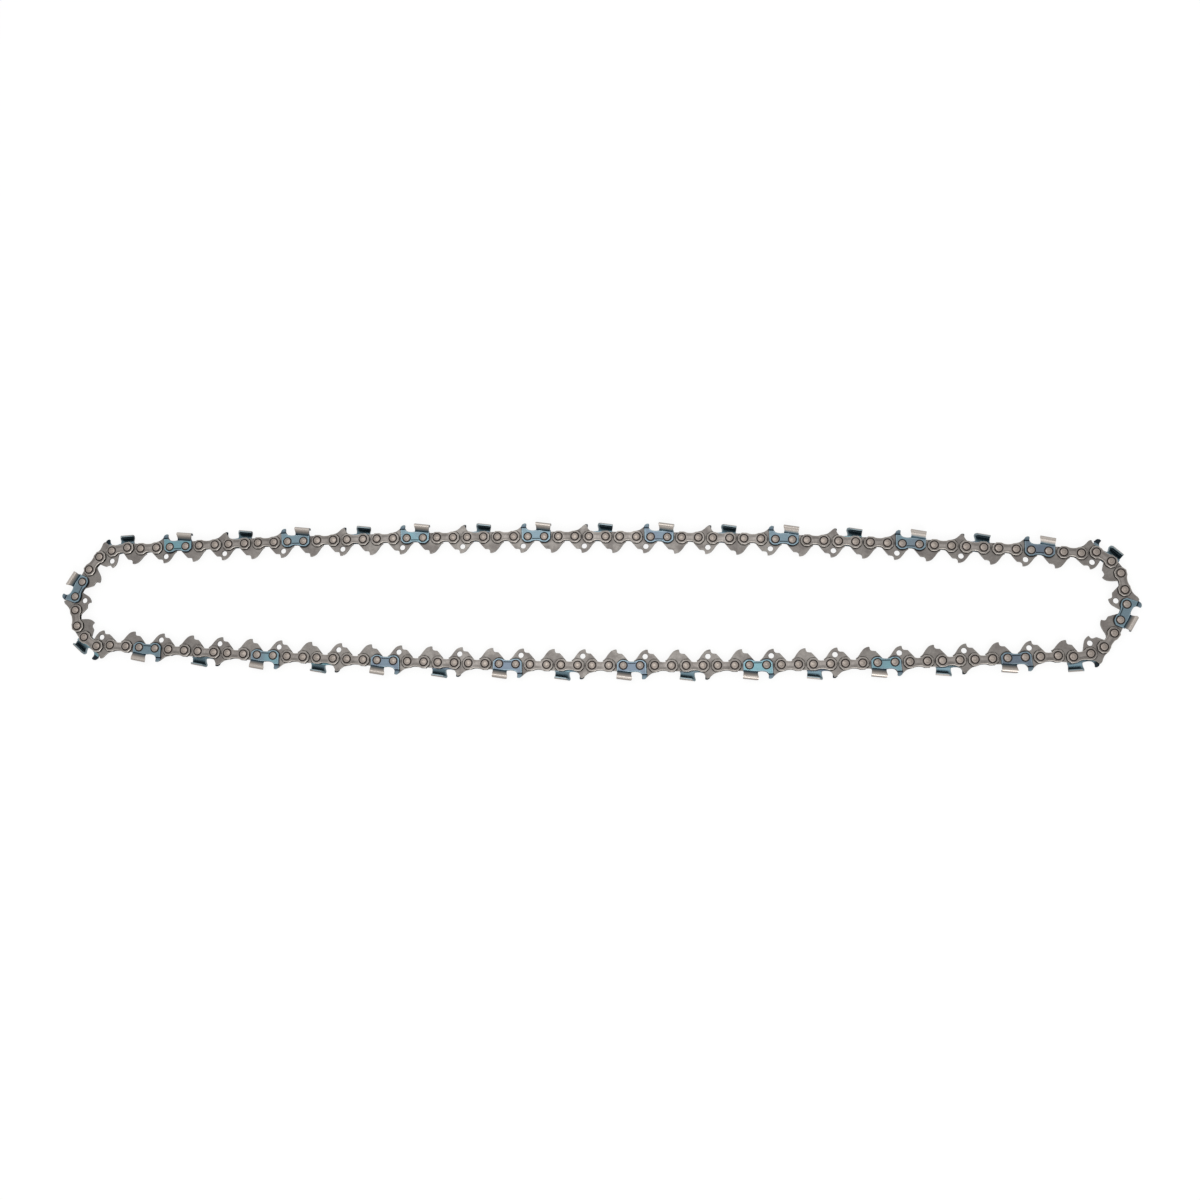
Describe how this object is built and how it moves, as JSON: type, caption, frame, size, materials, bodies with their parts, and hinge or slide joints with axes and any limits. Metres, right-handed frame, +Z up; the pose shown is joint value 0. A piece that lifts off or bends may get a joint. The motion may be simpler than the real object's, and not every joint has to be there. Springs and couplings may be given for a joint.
{
  "type": "chainsaw chain loop",
  "caption": "Closed loop of saw chain: riveted drive links with tangs, tie straps and alternating left and right cutters with chrome top plates, lying flat as a long narrow oval.",
  "frame": {"origin": "middle of the loop, on the surface that it lies on", "axes": "+X along the runs of the loop, +Y across it in its plane, +Z up along the rivets"},
  "size_m": [0.6504, 0.0964, 0.0067],
  "materials": {
    "drive_link_steel": "satin",
    "strap_steel": "satin",
    "cutter_steel": "satin"
  },
  "bodies": {
    "section_01": {"drive_links_01": "drive_link_steel", "tie_straps_01": "strap_steel", "cutters_01": "cutter_steel"},
    "section_02": {"drive_links_02": "drive_link_steel", "tie_straps_02": "strap_steel", "cutters_02": "cutter_steel"},
    "section_03": {"drive_links_03": "drive_link_steel", "tie_straps_03": "strap_steel", "cutters_03": "cutter_steel"},
    "section_04": {"drive_links_04": "drive_link_steel", "tie_straps_04": "strap_steel", "cutters_04": "cutter_steel"},
    "section_05": {"drive_links_05": "drive_link_steel", "tie_straps_05": "strap_steel", "cutters_05": "cutter_steel"},
    "section_06": {"drive_links_06": "drive_link_steel", "tie_straps_06": "strap_steel", "cutters_06": "cutter_steel"},
    "section_07": {"drive_links_07": "drive_link_steel", "tie_straps_07": "strap_steel", "cutters_07": "cutter_steel"},
    "section_08": {"drive_links_08": "drive_link_steel", "tie_straps_08": "strap_steel", "cutters_08": "cutter_steel"},
    "section_09": {"drive_links_09": "drive_link_steel", "tie_straps_09": "strap_steel", "cutters_09": "cutter_steel"},
    "section_10": {"drive_links_10": "drive_link_steel", "tie_straps_10": "strap_steel", "cutters_10": "cutter_steel"},
    "section_11": {"drive_links_11": "drive_link_steel", "tie_straps_11": "strap_steel", "cutters_11": "cutter_steel"},
    "section_12": {"drive_links_12": "drive_link_steel", "tie_straps_12": "strap_steel", "cutters_12": "cutter_steel"},
    "section_13": {"drive_links_13": "drive_link_steel", "tie_straps_13": "strap_steel", "cutters_13": "cutter_steel"},
    "section_14": {"drive_links_14": "drive_link_steel", "tie_straps_14": "strap_steel", "cutters_14": "cutter_steel"},
    "section_15": {"drive_links_15": "drive_link_steel", "tie_straps_15": "strap_steel", "cutters_15": "cutter_steel"},
    "section_16": {"drive_links_16": "drive_link_steel", "tie_straps_16": "strap_steel", "cutters_16": "cutter_steel"},
    "section_17": {"drive_links_17": "drive_link_steel", "tie_straps_17": "strap_steel", "cutters_17": "cutter_steel"},
    "section_18": {"drive_links_18": "drive_link_steel", "tie_straps_18": "strap_steel", "cutters_18": "cutter_steel"}
  },
  "joints": [
    {"name": "pivot_12_13", "type": "hinge", "parent": "section_13", "child": "section_12", "pos_m": [-0.00249, -0.03919, 0.00335], "axis": [0, 0, 1], "range_deg": [-2, 7.5]},
    {"name": "pivot_11_12", "type": "hinge", "parent": "section_12", "child": "section_11", "pos_m": [0.07207, -0.03881, 0.00335], "axis": [0, 0, 1], "range_deg": [-2, 7.5]},
    {"name": "pivot_10_11", "type": "hinge", "parent": "section_11", "child": "section_10", "pos_m": [0.14661, -0.03721, 0.00335], "axis": [0, 0, 1], "range_deg": [-2, 7.5]},
    {"name": "pivot_09_10", "type": "hinge", "parent": "section_10", "child": "section_09", "pos_m": [0.22112, -0.0344, 0.00335], "axis": [0, 0, 1], "range_deg": [-2, 7.5]},
    {"name": "pivot_08_09", "type": "hinge", "parent": "section_09", "child": "section_08", "pos_m": [0.29539, -0.0301, 0.00335], "axis": [0, 0, 1], "range_deg": [-26.25, 7]},
    {"name": "pivot_07_08", "type": "hinge", "parent": "section_08", "child": "section_07", "pos_m": [0.30048, 0.02981, 0.00335], "axis": [0, 0, 1], "range_deg": [-26.25, 7]},
    {"name": "pivot_06_07", "type": "hinge", "parent": "section_07", "child": "section_06", "pos_m": [0.22606, 0.03306, 0.00335], "axis": [0, 0, 1], "range_deg": [-2, 7.5]},
    {"name": "pivot_05_06", "type": "hinge", "parent": "section_06", "child": "section_05", "pos_m": [0.15158, 0.03632, 0.00335], "axis": [0, 0, 1], "range_deg": [-2, 7.5]},
    {"name": "pivot_04_05", "type": "hinge", "parent": "section_05", "child": "section_04", "pos_m": [0.07704, 0.03836, 0.00335], "axis": [0, 0, 1], "range_deg": [-2, 7.5]},
    {"name": "pivot_13_14", "type": "hinge", "parent": "section_13", "child": "section_14", "pos_m": [-0.07704, -0.03836, 0.00335], "axis": [0, 0, -1], "range_deg": [-2, 7.5]},
    {"name": "pivot_14_15", "type": "hinge", "parent": "section_14", "child": "section_15", "pos_m": [-0.15158, -0.03632, 0.00335], "axis": [0, 0, -1], "range_deg": [-2, 7.5]},
    {"name": "pivot_15_16", "type": "hinge", "parent": "section_15", "child": "section_16", "pos_m": [-0.22606, -0.03306, 0.00335], "axis": [0, 0, -1], "range_deg": [-2, 7.5]},
    {"name": "pivot_16_17", "type": "hinge", "parent": "section_16", "child": "section_17", "pos_m": [-0.30048, -0.02981, 0.00335], "axis": [0, 0, -1], "range_deg": [-26.25, 7]},
    {"name": "pivot_17_18", "type": "hinge", "parent": "section_17", "child": "section_18", "pos_m": [-0.29539, 0.0301, 0.00335], "axis": [0, 0, -1], "range_deg": [-26.25, 7]},
    {"name": "pivot_01_18", "type": "hinge", "parent": "section_18", "child": "section_01", "pos_m": [-0.22112, 0.0344, 0.00335], "axis": [0, 0, -1], "range_deg": [-2, 7.5]},
    {"name": "pivot_01_02", "type": "hinge", "parent": "section_01", "child": "section_02", "pos_m": [-0.14661, 0.03721, 0.00335], "axis": [0, 0, -1], "range_deg": [-2, 7.5]},
    {"name": "pivot_02_03", "type": "hinge", "parent": "section_02", "child": "section_03", "pos_m": [-0.07207, 0.03881, 0.00335], "axis": [0, 0, -1], "range_deg": [-2, 7.5]}
  ],
  "couplings": [
    {"joint": "pivot_11_12", "follows": "pivot_12_13", "ratio": 1},
    {"joint": "pivot_10_11", "follows": "pivot_12_13", "ratio": 1},
    {"joint": "pivot_09_10", "follows": "pivot_12_13", "ratio": 1},
    {"joint": "pivot_08_09", "follows": "pivot_12_13", "ratio": -3.5},
    {"joint": "pivot_07_08", "follows": "pivot_12_13", "ratio": -3.5},
    {"joint": "pivot_06_07", "follows": "pivot_12_13", "ratio": 1},
    {"joint": "pivot_05_06", "follows": "pivot_12_13", "ratio": 1},
    {"joint": "pivot_04_05", "follows": "pivot_12_13", "ratio": 1},
    {"joint": "pivot_13_14", "follows": "pivot_12_13", "ratio": 1},
    {"joint": "pivot_14_15", "follows": "pivot_12_13", "ratio": 1},
    {"joint": "pivot_15_16", "follows": "pivot_12_13", "ratio": 1},
    {"joint": "pivot_16_17", "follows": "pivot_12_13", "ratio": -3.5},
    {"joint": "pivot_17_18", "follows": "pivot_12_13", "ratio": -3.5},
    {"joint": "pivot_01_18", "follows": "pivot_12_13", "ratio": 1},
    {"joint": "pivot_01_02", "follows": "pivot_12_13", "ratio": 1},
    {"joint": "pivot_02_03", "follows": "pivot_12_13", "ratio": 1}
  ]
}
